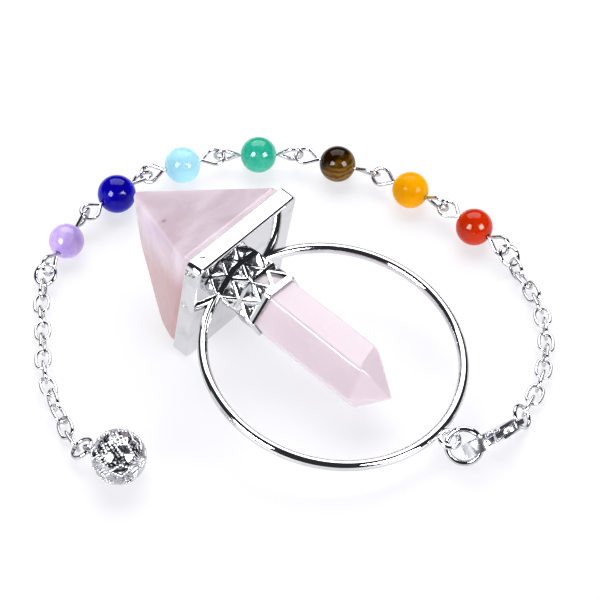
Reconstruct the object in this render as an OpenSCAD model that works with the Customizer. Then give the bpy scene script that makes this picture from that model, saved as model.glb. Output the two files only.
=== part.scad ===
// Pendulum pendant lying on a table. A square metal tray holds a pyramid stone, and a pierced collar
// on its back holds a pointed crystal. A wire hoop is soldered round the crystal. A lobster clasp hooks
// the hoop's ring, and from it run a chain, seven beads on eye pins, a second chain and a finger ball.
// The pendant's own frame has +X along its axis, from the tray's back plate to the crystal's tip.

/* [Tray] */
// Side of the square tray
tray_side = 22; // [18:0.5:26]
// Depth of the tray, from its back plate's outer face to its rim
tray_depth = 2.8; // [2.2:0.1:4]
// Thickness of the tray's wall round the stone
tray_wall = 0.7; // [0.5:0.1:1.2]
// Thickness of the tray's back plate
plate_thick = 1; // [0.7:0.1:1.4]
// Radius of the tray's four corners
tray_corner = 0.9; // [0.4:0.1:2]
// Slope of the pendant's axis as it lies, down towards the hoop
lie_slope = 10.4; // [8:0.2:13]

/* [Pyramid stone] */
// Height of the stone's blunt tip above the tray's rim
pyramid_height = 19.6; // [14:0.2:24]
// Height of the stone's straight band above the tray's rim
pyramid_band = 1.2; // [0.6:0.1:2]
// Radius of the stone's blunt tip
pyramid_tip_radius = 0.9; // [0.4:0.1:1.4]
// Radius of the stone's four upright corners
pyramid_corner = 0.8; // [0.4:0.1:1.4]
// Upper and lower knee of the stone's fuller ridge: height above the tray's rim, and distance from
// the axis on each of its two sides
full_ridge_knees = [[13.5, 3.45], [3.3, 8.8]];

/* [Collar] */
// Length of the collar, from the back plate to its rim
collar_length = 7.5; // [6:0.1:9]
// Distance from the axis to the collar's corners, at the plate
collar_foot_radius = 5.3; // [5.2:0.05:5.6]
// Distance from the axis to the collar's corners, at its rim
collar_rim_radius = 5.65; // [5.6:0.05:6]
// Thickness of the collar's wall
collar_wall = 0.45; // [0.35:0.05:0.5]
// Turn of the six-sided collar and crystal about the axis
collar_turn = -4; // [-15:1:15]
// Width of the solid bands at the collar's foot and middle
collar_band = 0.5; // [0.4:0.05:0.7]
// Width of the solid band at the collar's rim
collar_rim_band = 1.05; // [0.6:0.05:1.2]
// Width of the slanted struts between the piercings
strut_width = 0.55; // [0.35:0.05:0.7]

/* [Crystal point] */
// Length of the crystal, from the back plate to its tip
crystal_length = 30.4; // [26:0.2:36]
// Distance from the axis to the crystal's corners, at its shoulder
crystal_radius = 5.15; // [4.9:0.05:5.4]
// Distance of the shoulder from the back plate
shoulder_reach = 25.3; // [20:0.1:25.5]
// Slant of the shoulder, the lower side nearer the tip
shoulder_slant = 1.1; // [0:0.1:1.5]
// Radius of the crystal's tip
crystal_tip_radius = 0.7; // [0.4:0.1:1]
// Radius of the crystal's long edges
crystal_edge = 0.45; // [0.2:0.05:0.8]

/* [Hoop] */
// Radius of the hoop, to the middle of its wire
hoop_radius = 19.9; // [17:0.1:24]
// Diameter of the hoop's wire
hoop_wire = 1.65; // [1.2:0.05:2]
// Depth by which the middle of the hoop's wire enters the plate
hoop_bite = 0.8; // [0.6:0.05:1]
// Radius of the hoop's eye, to the middle of its wire
eye_radius = 1.4; // [1.3:0.05:1.7]
// Diameter of the eye's wire
eye_wire = 0.84; // [0.7:0.02:0.95]
// Place of the eye round the hoop, from the pendant's axis
eye_turn = 2.3; // [0:0.1:4]

/* [Jump rings] */
// Radius of the large ring in the hoop's eye, to the middle of its wire
hook_ring_radius = 2.6; // [2.5:0.05:2.8]
// Diameter of the large ring's wire
hook_ring_wire = 0.9; // [0.7:0.02:0.94]
// Radius of the small rings, to the middle of their wire
ring_radius = 1.72; // [1.6:0.02:1.9]
// Diameter of the small rings' wire
ring_wire = 0.6; // [0.5:0.02:0.64]

/* [Clasp] */
// Length of the clasp, from the middle of its nose to its tail eye
clasp_length = 8.6; // [8.2:0.1:9.4]
// Radius of the clasp's nose
clasp_nose = 2.7; // [2.6:0.05:2.9]
// Radius of the clasp's opening
clasp_opening = 1.7; // [1.6:0.02:1.8]
// Thickness of the clasp
clasp_thick = 2; // [1.8:0.05:2.3]
// Thickness of the lever, which swings between the clasp's cheeks
lever_thick = 0.8; // [0.6:0.05:0.9]
// Gap on each side of the lever
lever_gap = 0.1; // [0.08:0.01:0.14]
// Radius of the lever's pin
pin_radius = 0.3; // [0.26:0.01:0.34]
// Running clearance between the pin and the lever's bore
pin_clearance = 0.04; // [0.03:0.01:0.06]
// Radius of the tail eye's hole
tail_hole = 0.6; // [0.5:0.02:0.64]
// Radius of the tail eye
tail_radius = 1.05; // [0.9:0.05:1.15]

/* [Chains] */
// Outer length of a link
link_length = 4.21; // [3.9:0.05:4.4]
// Outer width of a link
link_width = 2.85; // [2.75:0.05:3]
// Diameter of a link's wire
link_wire = 0.54; // [0.5:0.02:0.6]
// Half of the turn of the sharper bend at a link's end
end_turn = 77; // [60:1:80]
// Links in each of the two chains
link_count = 12; // [8:1:12]
// Play between the wires of two pieces that hang in each other
play = 0.2; // [0.16:0.01:0.24]
// Further play in the clasp's chain, which lies loose
chain_slack = 0.19; // [0:0.01:0.3]
// Roll of the first link, from lying flat
first_link_roll = 102; // [60:2:120]
// Twist of each link in the chain's further half
link_twist = 13; // [0:1:16]
// Drop of a flat link in the upright ones
flat_link_drop = 0.3; // [0:0.05:0.4]

/* [Beads] */
// Diameter of a plain bead
bead_size = 6; // [5:0.1:6.6]
// Diameter of the royal blue bead
large_bead_size = 6.3; // [5.4:0.1:6.9]
// Diameter of the violet bead
small_bead_size = 5.7; // [4.8:0.1:6.3]
// Diameter of the eye pins' wire
pin_wire = 0.64; // [0.55:0.01:0.7]
// Gap between an eye pin and the wall of its bead's hole
pin_gap = 0.12; // [0.1:0.01:0.2]
// Distance from the middle of a bead to the far end of its pin's loops
loop_reach = 7.55; // [6.9:0.05:7.8]
// Outer width of a pin's loops
loop_width = 3.5; // [2.9:0.05:3.7]
// Diameter of the shank that runs through the bead
pin_shank = 0.54; // [0.4:0.02:0.56]
// Length of the shank that shows between a bead and its loop
neck_length = 0.3; // [0.25:0.05:0.6]

/* [Finger ball] */
// Outer diameter of the hollow ball
ball_size = 8.1; // [7.2:0.1:9]
// Thickness of the ball's shell
ball_wall = 0.5; // [0.4:0.05:0.8]
// Petals round each end of the ball
ball_petals = 6; // [5:1:6]
// Radius of the eye on the ball, to the middle of its wire
ball_eye_radius = 1.1; // [0.9:0.05:1.15]
// Height of the ball's eye above the table
ball_eye_height = 2.8; // [1.6:0.1:3]

/* [Hidden] */
$fn = 48;

silver = [0.84, 0.85, 0.87];
rose = [0.93, 0.78, 0.83];
stone_fit = 0.1;
sides = 6;
eps = 0.01;

// Directions and turns

// Unit vector at an azimuth and an elevation
function heading(azimuth, rise) = [cos(rise) * cos(azimuth), cos(rise) * sin(azimuth), sin(rise)];
// Sideways unit vector of a piece that points at a heading and is rolled about it
function sideways(azimuth, rise, roll) =
    cos(roll) * [-sin(azimuth), cos(azimuth), 0]
    + sin(roll) * [-sin(rise) * cos(azimuth), -sin(rise) * sin(azimuth), cos(rise)];

// Sets a piece's own +X along a heading, rolled about it
module aim(at, azimuth, rise, roll) {
    translate(at) rotate([roll, -rise, azimuth]) children();
}

// Tray, stone and crystal

// The origin is on the table under the middle of the whole pendant's outline
plate_middle = [-5.43, -1.91, tray_side / 2 * cos(lie_slope)];
tray_inner = tray_side - 2 * tray_wall;
stone_side = tray_inner - 2 * stone_fit;

// Point of the pendant's own frame as it lies
function lying(x, y) = plate_middle + [x * cos(lie_slope), y, -x * sin(lie_slope)];

module lie() {
    translate(plate_middle) rotate([0, lie_slope, 0]) children();
}

module rounded_square(side, corner) {
    square([side, side - 2 * corner], center = true);
    square([side - 2 * corner, side], center = true);
    for (x = [-1, 1], y = [-1, 1])
        translate([x, y] * (side / 2 - corner)) circle(r = corner);
}

// Flat slab square to the axis, between two places on it
module slab(from, to, side, corner) {
    translate([from, 0, 0]) rotate([0, 90, 0])
        linear_extrude(to - from) rounded_square(side, corner);
}

module tray() {
    difference() {
        slab(-tray_depth, 0, tray_side, tray_corner);
        slab(-tray_depth - 1, -plate_thick, tray_inner, max(tray_corner - tray_wall, 0.1));
    }
}

module pyramid_stone() {
    seat = -plate_thick - stone_fit;
    band_top = -tray_depth - pyramid_band;
    tip_middle = -tray_depth - pyramid_height + pyramid_tip_radius;
    color(rose) lie() hull() {
        slab(band_top, seat, stone_side, pyramid_corner);
        translate([tip_middle, 0, 0]) sphere(r = pyramid_tip_radius, $fn = 24);
        for (knee = full_ridge_knees)
            translate([-tray_depth - knee[0], -knee[1], -knee[1]])
                sphere(r = pyramid_tip_radius, $fn = 24);
    }
}

// Crystal's corner radius where the collar's rim holds it
crystal_rim_radius = collar_rim_radius - (collar_wall + stone_fit) / cos(180 / sides);
crystal_foot_radius = collar_foot_radius - (collar_wall + stone_fit) / cos(180 / sides);

// Place of the shoulder's low side round the crystal
slant_turn = 20;

module crystal_corners(reach, radius, slant) {
    for (corner = [0 : sides - 1]) {
        turn = collar_turn + corner * 360 / sides;
        spoke = radius - crystal_edge / cos(180 / sides);
        translate([reach - slant * cos(turn - slant_turn), spoke * cos(turn), spoke * sin(turn)])
            rotate([0, 90, 0]) cylinder(r = crystal_edge, h = eps, $fn = 16);
    }
}

module crystal_point() {
    color(rose) lie() hull() {
        crystal_corners(stone_fit, crystal_foot_radius, 0);
        crystal_corners(collar_length, crystal_rim_radius, 0);
        crystal_corners(shoulder_reach, crystal_radius, shoulder_slant);
        translate([crystal_length - crystal_tip_radius, 0, 0])
            sphere(r = crystal_tip_radius, $fn = 24);
    }
}

// Collar

collar_lean = atan((collar_rim_radius - collar_foot_radius) * cos(180 / sides) / collar_length);
panel_length = collar_length / cos(collar_lean);
panel_sink = 0.2;
row_height = (panel_length - 2 * collar_band - collar_rim_band) / 2;
// Places of the slanted struts' ends on each side of the collar, with one more across each corner
strut_ends = 3;

// Half of a panel's width at a distance from the plate
function panel_half(reach) =
    (collar_foot_radius + (collar_rim_radius - collar_foot_radius) * reach / panel_length) / 2;

// One row of triangular piercings, points up and down in turn. The outer ones run round the corners
module piercing_row(start, flip) {
    pitch = 2 * panel_half(start + row_height / 2) / strut_ends;
    inset = strut_width / 2 / sin(atan(row_height / pitch));
    for (index = [0 : strut_ends]) {
        middle = (index - strut_ends / 2) * pitch;
        up = index % 2 == flip;
        base_line = up ? start : start + row_height;
        point_line = up ? start + row_height - inset * row_height / pitch
            : start + inset * row_height / pitch;
        polygon([[base_line, middle - pitch + inset], [base_line, middle + pitch - inset],
            [point_line, middle]]);
    }
}

// One leaning side of the collar, from just inside the plate to the rim
module collar_panel(flip) {
    translate([0, collar_foot_radius * cos(180 / sides), 0]) rotate([0, 0, collar_lean])
        rotate([90, 0, 0]) linear_extrude(collar_wall) difference() {
            polygon([[-panel_sink, panel_half(-panel_sink)], [panel_length, panel_half(panel_length)],
                [panel_length, -panel_half(panel_length)], [-panel_sink, -panel_half(-panel_sink)]]);
            piercing_row(collar_band, flip);
            piercing_row(2 * collar_band + row_height, 1 - flip);
        }
}

module collar() {
    for (side = [0 : sides - 1])
        rotate([collar_turn + (side + 0.5) * 360 / sides, 0, 0]) collar_panel(side % 2);
}

// Hoop and its eye

hoop_middle = hoop_radius - hoop_bite;
eye_spoke = hoop_radius + hoop_wire / 2 + eye_radius;
eye_at = lying(hoop_middle + eye_spoke * cos(eye_turn), eye_spoke * sin(eye_turn));

module ring(radius, wire) {
    rotate_extrude($fn = 96) translate([radius, 0]) circle(r = wire / 2, $fn = 24);
}

// Box square to the hoop, from far behind the plate to a place on the axis
module hoop_cut(reach, width) {
    translate([reach - hoop_radius, -width / 2, -hoop_wire])
        cube([hoop_radius, width, 2 * hoop_wire]);
}

// The hoop stops inside the plate, and its wire is left out where the crystal stands
module hoop() {
    difference() {
        translate([hoop_middle, 0, 0]) ring(hoop_radius, hoop_wire);
        hoop_cut(-plate_thick / 2, hoop_radius);
        hoop_cut(hoop_wire, 2 * (collar_foot_radius - collar_wall));
    }
    translate([hoop_middle + eye_spoke * cos(eye_turn), eye_spoke * sin(eye_turn), 0])
        ring(eye_radius, eye_wire);
}

module pendant_frame() {
    color(silver) lie() {
        tray();
        collar();
        hoop();
    }
}

// Large ring, held off centre in the hoop's eye

hook_azimuth = 20;
hook_rise = -14;
hook_roll = 52;
hook_side = sideways(hook_azimuth, hook_rise, hook_roll);
// Distance from the large ring's wire to the middle of the hoop's eye
eye_off_centre = 0.25;
hook_middle = eye_at + (hook_ring_radius - eye_off_centre) * heading(hook_azimuth, hook_rise);

module hook_ring() {
    color(silver) aim(hook_middle, hook_azimuth, hook_rise, hook_roll)
        ring(hook_ring_radius, hook_ring_wire);
}

// Clasp. Its own +X points from the tail to the nose, and +Y to the lever's side

clasp_azimuth = -96;
clasp_rise = 13;
clasp_roll = 52;
// Place where the clasp hangs round the large ring, and the ring's wire as the clasp's opening holds it
clasp_turn = 35;
ring_in_clasp = [-0.65, -0.4];
clasp_nose_at = hook_middle
    + hook_ring_radius * (cos(clasp_turn) * heading(hook_azimuth, hook_rise) + sin(clasp_turn) * hook_side)
    - ring_in_clasp[0] * heading(clasp_azimuth, clasp_rise)
    - ring_in_clasp[1] * sideways(clasp_azimuth, clasp_rise, clasp_roll);
clasp_tail_at = clasp_nose_at - clasp_length * heading(clasp_azimuth, clasp_rise);

lever_pivot = [-6.1, 0.25];
lever_boss = 0.65;
lever_from = 68;
lever_to = 125;
mouth_from = 30;
// Reach of the lever's end from its pin, and its gap to the hook's tip
lever_reach = 7.25;
mouth_gap = 0.18;
tail_thick = 0.8;

module clasp_outline() {
    circle(r = clasp_nose);
    polygon([[0, clasp_nose], [0, -clasp_nose], [-clasp_length + tail_radius, -tail_radius],
        [-clasp_length + tail_radius, tail_radius]]);
}

module clasp_opening_outline() {
    circle(r = clasp_opening);
    translate([-1.3, -0.15]) circle(r = clasp_opening * 0.8);
}

// Mouth of the hook, which the lever closes. Its far side is an arc about the lever's pin
module clasp_mouth_outline() {
    reach = 2 * clasp_nose;
    intersection() {
        translate(lever_pivot) circle(r = lever_reach + mouth_gap);
        polygon([[0, 0], reach * [cos(mouth_from), sin(mouth_from)],
            [-2.9, reach], [-2.9, 0.2], [-1.5, -0.4]]);
    }
}

// Slot between the cheeks, in which the lever swings
module lever_slot() {
    translate([0, 0, -lever_thick / 2 - lever_gap]) linear_extrude(lever_thick + 2 * lever_gap)
        polygon([[-1.2, -0.3], [-1.2, 3.2], [-7, 3.2], [-7, 0.2], [-6.5, -0.55], [-2.4, -0.8]]);
}

module clasp_body() {
    color(silver) aim(clasp_nose_at, clasp_azimuth, clasp_rise, clasp_roll) {
        difference() {
            translate([0, 0, -clasp_thick / 2]) linear_extrude(clasp_thick) difference() {
                clasp_outline();
                clasp_opening_outline();
                clasp_mouth_outline();
            }
            lever_slot();
        }
        translate([lever_pivot[0], lever_pivot[1], -clasp_thick / 2])
            cylinder(r = pin_radius, h = clasp_thick);
        translate([-clasp_length, 0, -tail_thick / 2]) linear_extrude(tail_thick) difference() {
            union() {
                circle(r = tail_radius);
                translate([0, -tail_radius]) square([tail_radius + 0.2, 2 * tail_radius]);
            }
            circle(r = tail_hole);
        }
    }
}

// Curved end of the lever, which meets the hook's tip
module lever_end() {
    far = 2 * clasp_nose;
    difference() {
        intersection() {
            circle(r = clasp_nose);
            translate(lever_pivot) circle(r = lever_reach);
        }
        circle(r = clasp_opening);
        polygon([[0, 0], far * [cos(lever_from), sin(lever_from)], [far, -far], [-far, -far],
            far * [cos(lever_to), sin(lever_to)]]);
    }
}

module lever_slice() {
    translate([0, 0, -lever_thick / 2]) linear_extrude(lever_thick) children();
}

module clasp_lever() {
    color(silver) aim(clasp_nose_at, clasp_azimuth, clasp_rise, clasp_roll) difference() {
        union() {
            lever_slice() lever_end();
            lever_slice() polygon([[-1.6, 2.1], [-0.5, 2.1], [-0.7, 1.7], [-2.3, 0.8], [-4, 0.1],
                [-6.1, -0.35], [-6.4, 0.8], [-4.5, 1.55]]);
            lever_slice() translate(lever_pivot) circle(r = lever_boss);
            lever_slice() polygon([[-5.5, 0.6], [-5.4, 2.2], [-4.9, 2.5], [-4.4, 2.3], [-3.8, 0.6]]);
        }
        translate([lever_pivot[0], lever_pivot[1], -lever_thick])
            cylinder(r = pin_radius + pin_clearance, h = 2 * lever_thick);
    }
}

// Run of the chain and beads over the table, from the clasp's tail eye

route = [[0, 0], [-0.5, 1.6], [-1.3, 5], [-2.5, 8.8], [-4.7, 13.2], [-8, 17.8], [-12, 21.6],
    [-16.2, 24.1], [-18.4, 25], [-22.1, 26.9], [-29.6, 27.7], [-42.5, 28], [-55.9, 25.2],
    [-68, 17.9], [-76, 7.8], [-79.3, -4.4], [-78.5, -17.6], [-75.6, -24.3], [-72.2, -28.8],
    [-67.4, -33.2], [-62.5, -38], [-57.3, -41.5], [-52.1, -44.1], [-46.7, -46.4], [-39.7, -45],
    [-34, -44]];

function smooth(a, b, c, d, t) =
    (2 * b + (c - a) * t + (2 * a - 5 * b + 4 * c - d) * t * t + (3 * b - a - 3 * c + d) * t * t * t) / 2;
route_steps = 12;
last_point = len(route) - 1;
curve = [for (i = [0 : last_point - 1], k = [0 : route_steps - 1])
    smooth(route[max(i - 1, 0)], route[i], route[i + 1], route[min(i + 2, last_point)],
        k / route_steps)];
curve_run = [for (i = 0, run = 0; i < len(curve); run = run + norm(curve[min(i + 1, len(curve) - 1)]
    - curve[i]), i = i + 1) run];
curve_x = [for (i = [0 : len(curve) - 1]) [curve_run[i], curve[i][0]]];
curve_y = [for (i = [0 : len(curve) - 1]) [curve_run[i], curve[i][1]]];

// Pieces in their order along the route: reach to the end wire's middle, end wire, drop below the joints
link_reach = (link_length - link_wire) / 2;
pin_reach = loop_reach - pin_wire / 2;
bead_sizes = [bead_size, bead_size, bead_size, bead_size, bead_size, large_bead_size,
    small_bead_size];
bead_count = len(bead_sizes);
eye_sink = 0.25;
ball_reach = ball_size / 2 + 2 * ball_eye_radius - eye_sink;
small_ring_piece = [ring_radius, ring_wire, 0];
// Links turn a quarter from one to the next, with a slow twist over the further half
function link_roll(i) = first_link_roll + 90 * i - link_twist * max(0, i + 1 - link_count / 2);
function link_drop(i) = flat_link_drop * (1 - abs(sin(link_roll(i))));
function links() = [for (i = [0 : link_count - 1]) [link_reach, link_wire, link_drop(i)]];
tail_eye_piece = [0, tail_radius - tail_hole, 0];
pieces = concat([tail_eye_piece, small_ring_piece], links(), [small_ring_piece],
    [for (i = [0 : bead_count - 1]) [pin_reach, pin_wire, 0]],
    [small_ring_piece], links(), [small_ring_piece, [ball_reach, ring_wire, 0]]);

clasp_ring_place = 1;
first_link_place = 2;
bead_ring_place = first_link_place + link_count;
first_bead_place = bead_ring_place + 1;
tail_ring_place = first_bead_place + bead_count;
ball_link_place = tail_ring_place + 1;
ball_ring_place = ball_link_place + link_count;
ball_place = ball_ring_place + 1;

// Joints, each between a piece and the next one: height, and play beyond the plain one
chain_height = link_width / 2;
chain_joints = link_count + 1;
bead_joint_heights = [2.85, 3.15, 2.85, 3.15, 2.85, 3.15, 3.15, 2.55];
bead_slack = [0.1, 0.35, 0, 0, 0.45, 0.65, 0.35, 0.55];
joint_heights = concat([clasp_tail_at[2]], [for (i = [1 : chain_joints]) chain_height],
    bead_joint_heights, [for (i = [1 : chain_joints]) chain_height], [ball_eye_height]);
joint_slack = concat([0], [for (i = [1 : chain_joints]) chain_slack], bead_slack,
    [for (i = [0 : chain_joints]) 0]);

// Distance by which the first joint is nearer to the tail eye's middle
tail_start = 0.1;
// Distance by which two wires pass each other at a joint
function overlap(joint) = (pieces[joint][1] + pieces[joint + 1][1]) / 2 + play + joint_slack[joint];
// Distance from a piece's middle to the joint before it and to the one after it
function back(place) = pieces[place][0] - overlap(place - 1) / 2;
function front(place) = pieces[place][0] - overlap(place) / 2;
function level_run(place) =
    sqrt(pow(back(place) + front(place), 2) - pow(joint_heights[place] - joint_heights[place - 1], 2));
joint_run = [for (place = 0, run = overlap(0) / 2 - tail_start; place < ball_place;
    place = place + 1, run = place < ball_place ? run + level_run(place) : run) run];
function on_route(run, height) =
    [clasp_tail_at[0] + lookup(run, curve_x), clasp_tail_at[1] + lookup(run, curve_y), height];
joints = [for (i = [0 : ball_place - 1]) on_route(joint_run[i], joint_heights[i])];

// Direction of a piece, and its middle, between its two joints
ball_climb = ball_size / 2 - ball_eye_height;
ball_middle = on_route(joint_run[ball_place - 1] + sqrt(pow(back(ball_place), 2) - pow(ball_climb, 2)),
    ball_size / 2);
function along(place) = (place < ball_place ? joints[place] : ball_middle) - joints[place - 1];
function middle(place) = place == ball_place ? ball_middle
    : joints[place - 1] + along(place) * back(place) / (back(place) + front(place))
        - [0, 0, pieces[place][2]];
function azimuth_of(v) = atan2(v[1], v[0]);
function rise_of(v) = atan2(v[2], norm([v[0], v[1]]));

module piece_at(place, roll) {
    aim(middle(place), azimuth_of(along(place)), rise_of(along(place)), roll) children();
}

module small_ring(place, roll) {
    color(silver) piece_at(place, roll) ring(ring_radius, ring_wire);
}

// Bent wire, an arc of twice the half turn about its own +X
module bent_wire(bend, half_turn, wire) {
    rotate([0, 0, -half_turn]) rotate_extrude(angle = 2 * half_turn, $fn = 96)
        translate([bend, 0]) circle(r = wire / 2, $fn = 24);
}

// Oval ring of wire lying along +X, of two end arcs and two flatter side arcs that run on into them
module oval(length, width, wire) {
    side_thinner = 0.03;
    side_overlap = 1.5;
    half_length = (length - wire) / 2;
    half_width = (width - wire) / 2;
    spread = (half_length - half_width) / (sin(end_turn) + cos(end_turn) - 1);
    for (end = [-1, 1]) {
        translate([end * spread * cos(end_turn), 0, 0]) rotate([0, 0, 90 - end * 90])
            bent_wire(half_length - spread * cos(end_turn), end_turn, wire);
        translate([0, -end * spread * sin(end_turn), 0]) rotate([0, 0, end * 90])
            bent_wire(half_width + spread * sin(end_turn), 90 - end_turn + side_overlap,
                wire - side_thinner);
    }
}

module chain(first_place) {
    color(silver) for (i = [0 : link_count - 1])
        piece_at(first_place + i, link_roll(i)) oval(link_length, link_width, link_wire);
}

// Beads and eye pins

bead_colours = ["firebrick", "orange", "saddlebrown", "mediumseagreen", "skyblue", "darkblue",
    "mediumpurple"];
// Roll of each pin's loop on the clasp's side and on the ball's side
loop_rolls = [[-62, -13], [77, -38], [52, -13], [77, 73], [-17, -63], [27, -13], [77, -70]];

module bead(index) {
    radius = bead_sizes[index] / 2;
    color(bead_colours[index]) piece_at(first_bead_place + index, 0) rotate([0, 90, 0])
        rotate_extrude() difference() {
            circle(r = radius);
            translate([-2 * radius, -radius]) square([2 * radius + pin_shank / 2 + pin_gap, 2 * radius]);
        }
}

// Loop of wire like a drop, from its point at the bead to its round end
module drop_loop(length) {
    strand_radius = pin_wire / 2 - 0.02;
    strand_overlap = 0.05;
    bend = (loop_width - pin_wire) / 2;
    bend_middle = length - pin_wire / 2 - bend;
    slant = asin(bend / bend_middle);
    translate([bend_middle, 0, 0]) rotate([0, 0, -90 - slant])
        rotate_extrude(angle = 180 + 2 * slant, $fn = 64) translate([bend, 0])
            circle(r = pin_wire / 2, $fn = 24);
    for (side = [-1, 1])
        rotate([0, 90, side * slant])
            cylinder(r = strand_radius, h = bend_middle * cos(slant) + strand_overlap, $fn = 24);
}

module eye_pin(index) {
    neck = bead_sizes[index] / 2 + neck_length;
    color(silver) piece_at(first_bead_place + index, 0) {
        rotate([0, 90, 0]) cylinder(r = pin_shank / 2, h = 2 * neck + pin_wire, center = true);
        for (side = [0, 1])
            rotate([(2 * side - 1) * loop_rolls[index][side], 0, 180 * (1 - side)])
                translate([neck, 0, 0]) drop_loop(loop_reach - neck);
    }
}

// Finger ball: a pierced shell with a small eye

ball_roll = 105;

module lozenge(length, width) {
    polygon([[-length / 2, 0], [0, width / 2], [length / 2, 0], [0, -width / 2]]);
}

module finger_ball() {
    radius = ball_size / 2;
    petal_tilt = 38;
    color(silver) piece_at(ball_place, ball_roll) {
        difference() {
            rotate([0, 90, 0]) rotate_extrude() difference() {
                circle(r = radius);
                circle(r = radius - ball_wall);
                translate([-2 * radius, -radius]) square([2 * radius, 2 * radius]);
            }
            for (end = [0, 1], index = [0 : ball_petals - 1])
                rotate([(index + end / 2) * 360 / ball_petals, 0, 0])
                    rotate([0, end == 0 ? -petal_tilt : petal_tilt, 0])
                        linear_extrude(2 * radius) lozenge(radius * 0.75, radius * 0.4);
            for (index = [0 : 2 * ball_petals - 1])
                rotate([(index + 0.25) * 180 / ball_petals, 0, 0])
                    linear_extrude(2 * radius) lozenge(radius * 0.3, radius * 0.26);
        }
        translate([-radius - ball_eye_radius + eye_sink, 0, 0]) ring(ball_eye_radius, ring_wire);
    }
}

pendant_frame();
pyramid_stone();
crystal_point();
hook_ring();
clasp_body();
clasp_lever();
small_ring(clasp_ring_place, 48);  // clasp_ring
chain(first_link_place);  // clasp_chain
small_ring(bead_ring_place, 12);  // bead_ring
bead(0);  // red_bead
eye_pin(0);  // red_eye_pin
bead(1);  // orange_bead
eye_pin(1);  // orange_eye_pin
bead(2);  // brown_bead
eye_pin(2);  // brown_eye_pin
bead(3);  // green_bead
eye_pin(3);  // green_eye_pin
bead(4);  // sky_blue_bead
eye_pin(4);  // sky_blue_eye_pin
bead(5);  // royal_blue_bead
eye_pin(5);  // royal_blue_eye_pin
bead(6);  // violet_bead
eye_pin(6);  // violet_eye_pin
small_ring(tail_ring_place, 14);  // tail_ring
chain(ball_link_place);  // ball_chain
small_ring(ball_ring_place, 15);  // ball_ring
finger_ball();
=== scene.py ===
"""Looks of a pendulum pendant that lies on a white table.

A square silver tray holds a pink pyramid, and a pierced collar on the tray's back holds a pink crystal.
A wire hoop runs round the crystal. A lobster clasp, two cable chains, seven stone beads on eye pins and
a pierced finger ball follow it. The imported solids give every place; the pieces here are finer dresses
of the same forms, and the solids that keep their own shape get their finishes. Sizes are millimetres and
angles are degrees, where nothing else is said.
"""

from __future__ import annotations

import logging
import math
from dataclasses import dataclass, field, replace
from enum import Enum

import bmesh
import bpy
import numpy as np
from mathutils import Matrix, Vector

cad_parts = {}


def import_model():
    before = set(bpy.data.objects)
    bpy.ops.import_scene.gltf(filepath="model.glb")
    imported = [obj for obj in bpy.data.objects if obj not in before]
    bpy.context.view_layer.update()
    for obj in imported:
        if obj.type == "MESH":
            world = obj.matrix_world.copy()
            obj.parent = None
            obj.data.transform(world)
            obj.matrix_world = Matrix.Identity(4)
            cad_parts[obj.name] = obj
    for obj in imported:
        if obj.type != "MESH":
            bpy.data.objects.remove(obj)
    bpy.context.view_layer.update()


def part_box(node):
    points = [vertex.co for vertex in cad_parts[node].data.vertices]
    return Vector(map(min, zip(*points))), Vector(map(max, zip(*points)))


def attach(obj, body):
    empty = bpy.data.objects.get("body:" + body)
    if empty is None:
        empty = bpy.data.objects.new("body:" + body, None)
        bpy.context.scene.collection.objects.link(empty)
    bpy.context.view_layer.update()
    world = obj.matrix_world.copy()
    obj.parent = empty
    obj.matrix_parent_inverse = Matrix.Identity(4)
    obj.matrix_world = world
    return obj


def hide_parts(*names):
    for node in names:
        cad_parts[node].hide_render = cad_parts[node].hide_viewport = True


MM = 0.001
ROOT_BODY = "pendulum"
LEVER_BODY = "lever"
LOG = logging.getLogger("pendulum_pendant")
TUBE_START = (0.31, 0.27, 0.91)
SOCKET_KINDS = {1: "NodeSocketFloat", 3: "NodeSocketVector", 4: "NodeSocketColor"}

Colour = tuple[float, float, float, float]
Place = tuple[float, float, float]
Material = bpy.types.Material
Node = bpy.types.Node
NodeTree = bpy.types.NodeTree
Object = bpy.types.Object
Socket = bpy.types.NodeSocket


class Slot(Enum):
    """The record's material slots."""

    FRAME_SILVER = "frame_silver"
    SILVER = "silver"
    BALL_SILVER = "ball_silver"
    ROSE_QUARTZ = "rose_quartz"
    PALE_ROSE_QUARTZ = "pale_rose_quartz"
    RED_STONE = "red_stone"
    ORANGE_STONE = "orange_stone"
    BROWN_STONE = "brown_stone"
    GREEN_STONE = "green_stone"
    SKY_BLUE_STONE = "sky_blue_stone"
    ROYAL_BLUE_STONE = "royal_blue_stone"
    VIOLET_STONE = "violet_stone"


# Points


def full_turn(count: int) -> np.ndarray:
    """Angles in radians, spread evenly over one full turn."""
    return np.linspace(0, 2 * math.pi, count, endpoint=False)


def circle(radius: float, turns: np.ndarray) -> np.ndarray:
    """Points of a circle round +Z at some angles in radians."""
    return radius * np.stack([np.cos(turns), np.sin(turns), np.zeros(len(turns))], axis=1)


def across(reach: float, outline: np.ndarray) -> np.ndarray:
    """Puts a flat outline across +X, at one place along it."""
    return np.column_stack([np.full(len(outline), reach), outline])


def direction(lift: float | np.ndarray, turn: float) -> np.ndarray:
    """Directions at an angle from +X and at a turn about it, both in radians."""
    return np.stack([np.cos(lift), np.sin(lift) * math.cos(turn), np.sin(lift) * math.sin(turn)], axis=-1)


def round_trip(corners: list[tuple[float, float]], samples: int) -> list[np.ndarray]:
    """Points along the closed line through some corners.

    Args:
        corners: The corners.
        samples: Points on each side, with its first corner among them.

    Returns:
        The points.
    """
    ends = np.array(corners)
    return [one + (two - one) * k / samples
            for one, two in zip(ends, np.roll(ends, -1, axis=0)) for k in range(samples)]


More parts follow.
